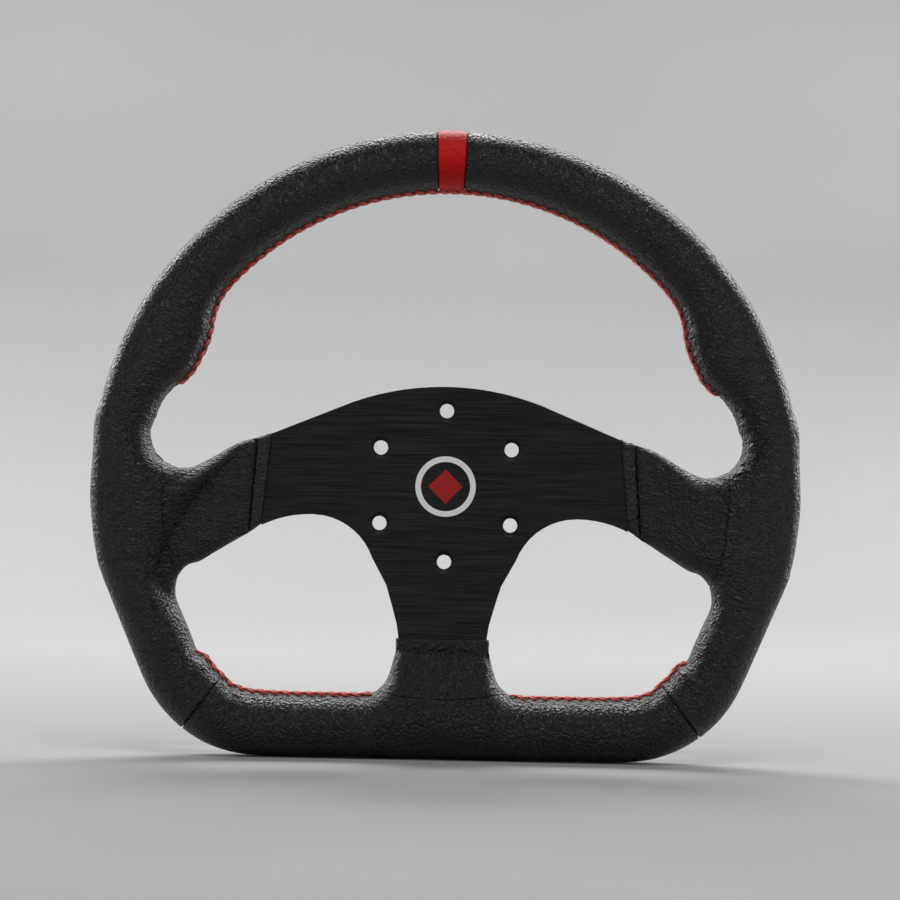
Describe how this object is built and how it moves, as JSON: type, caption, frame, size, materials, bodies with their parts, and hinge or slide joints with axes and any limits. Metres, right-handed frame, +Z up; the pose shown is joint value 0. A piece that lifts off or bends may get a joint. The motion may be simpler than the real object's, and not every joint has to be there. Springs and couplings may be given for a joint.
{
  "type": "flat-bottomed racing steering wheel",
  "caption": "Leather-covered D-shaped racing steering wheel with a brushed black spoke plate drilled for a hub adapter.",
  "frame": {"origin": "middle of the bolt circle, on the rear mounting face of the spoke plate", "axes": "+Z up with the flat of the rim at the bottom, +X to the driver's right, +Y along the steering axis away from the driver"},
  "size_m": [0.33, 0.031, 0.2913],
  "materials": {
    "anodised_plate": "brushed aluminium, black anodised, fine horizontal grain",
    "steel_rod": "plain drawn steel, hidden",
    "steel_tab": "plain sheet steel, hidden",
    "rivet": "plain, hidden",
    "foam": "moulded polyurethane foam, hidden",
    "grip_leather": "black, full grain pebble, semi-matt",
    "spoke_leather": "black, finer grain, semi-matt",
    "collar_leather": "black, thin, semi-matt",
    "band_leather": "smooth red, semi-matt",
    "thread": "red waxed thread",
    "white_print": "white printed ink",
    "red_print": "dark red printed ink"
  },
  "bodies": {
    "root": {"spoke_plate": "anodised_plate", "rim_rod": "steel_rod", "left_tab": "steel_tab", "right_tab": "steel_tab", "bottom_tab": "steel_tab", "left_rivets": "rivet", "right_rivets": "rivet", "bottom_rivets": "rivet", "grip_foam": "foam", "left_grip_leather": "grip_leather", "right_grip_leather": "grip_leather", "bottom_grip_leather": "grip_leather", "left_spoke_leather": "spoke_leather", "right_spoke_leather": "spoke_leather", "bottom_spoke_leather": "spoke_leather", "left_collar": "collar_leather", "right_collar": "collar_leather", "bottom_collar": "collar_leather", "centre_band": "band_leather", "upper_stitching": "thread", "lower_left_stitching": "thread", "lower_right_stitching": "thread", "mark_ring": "white_print", "mark_centre": "red_print"}
  },
  "joints": []
}
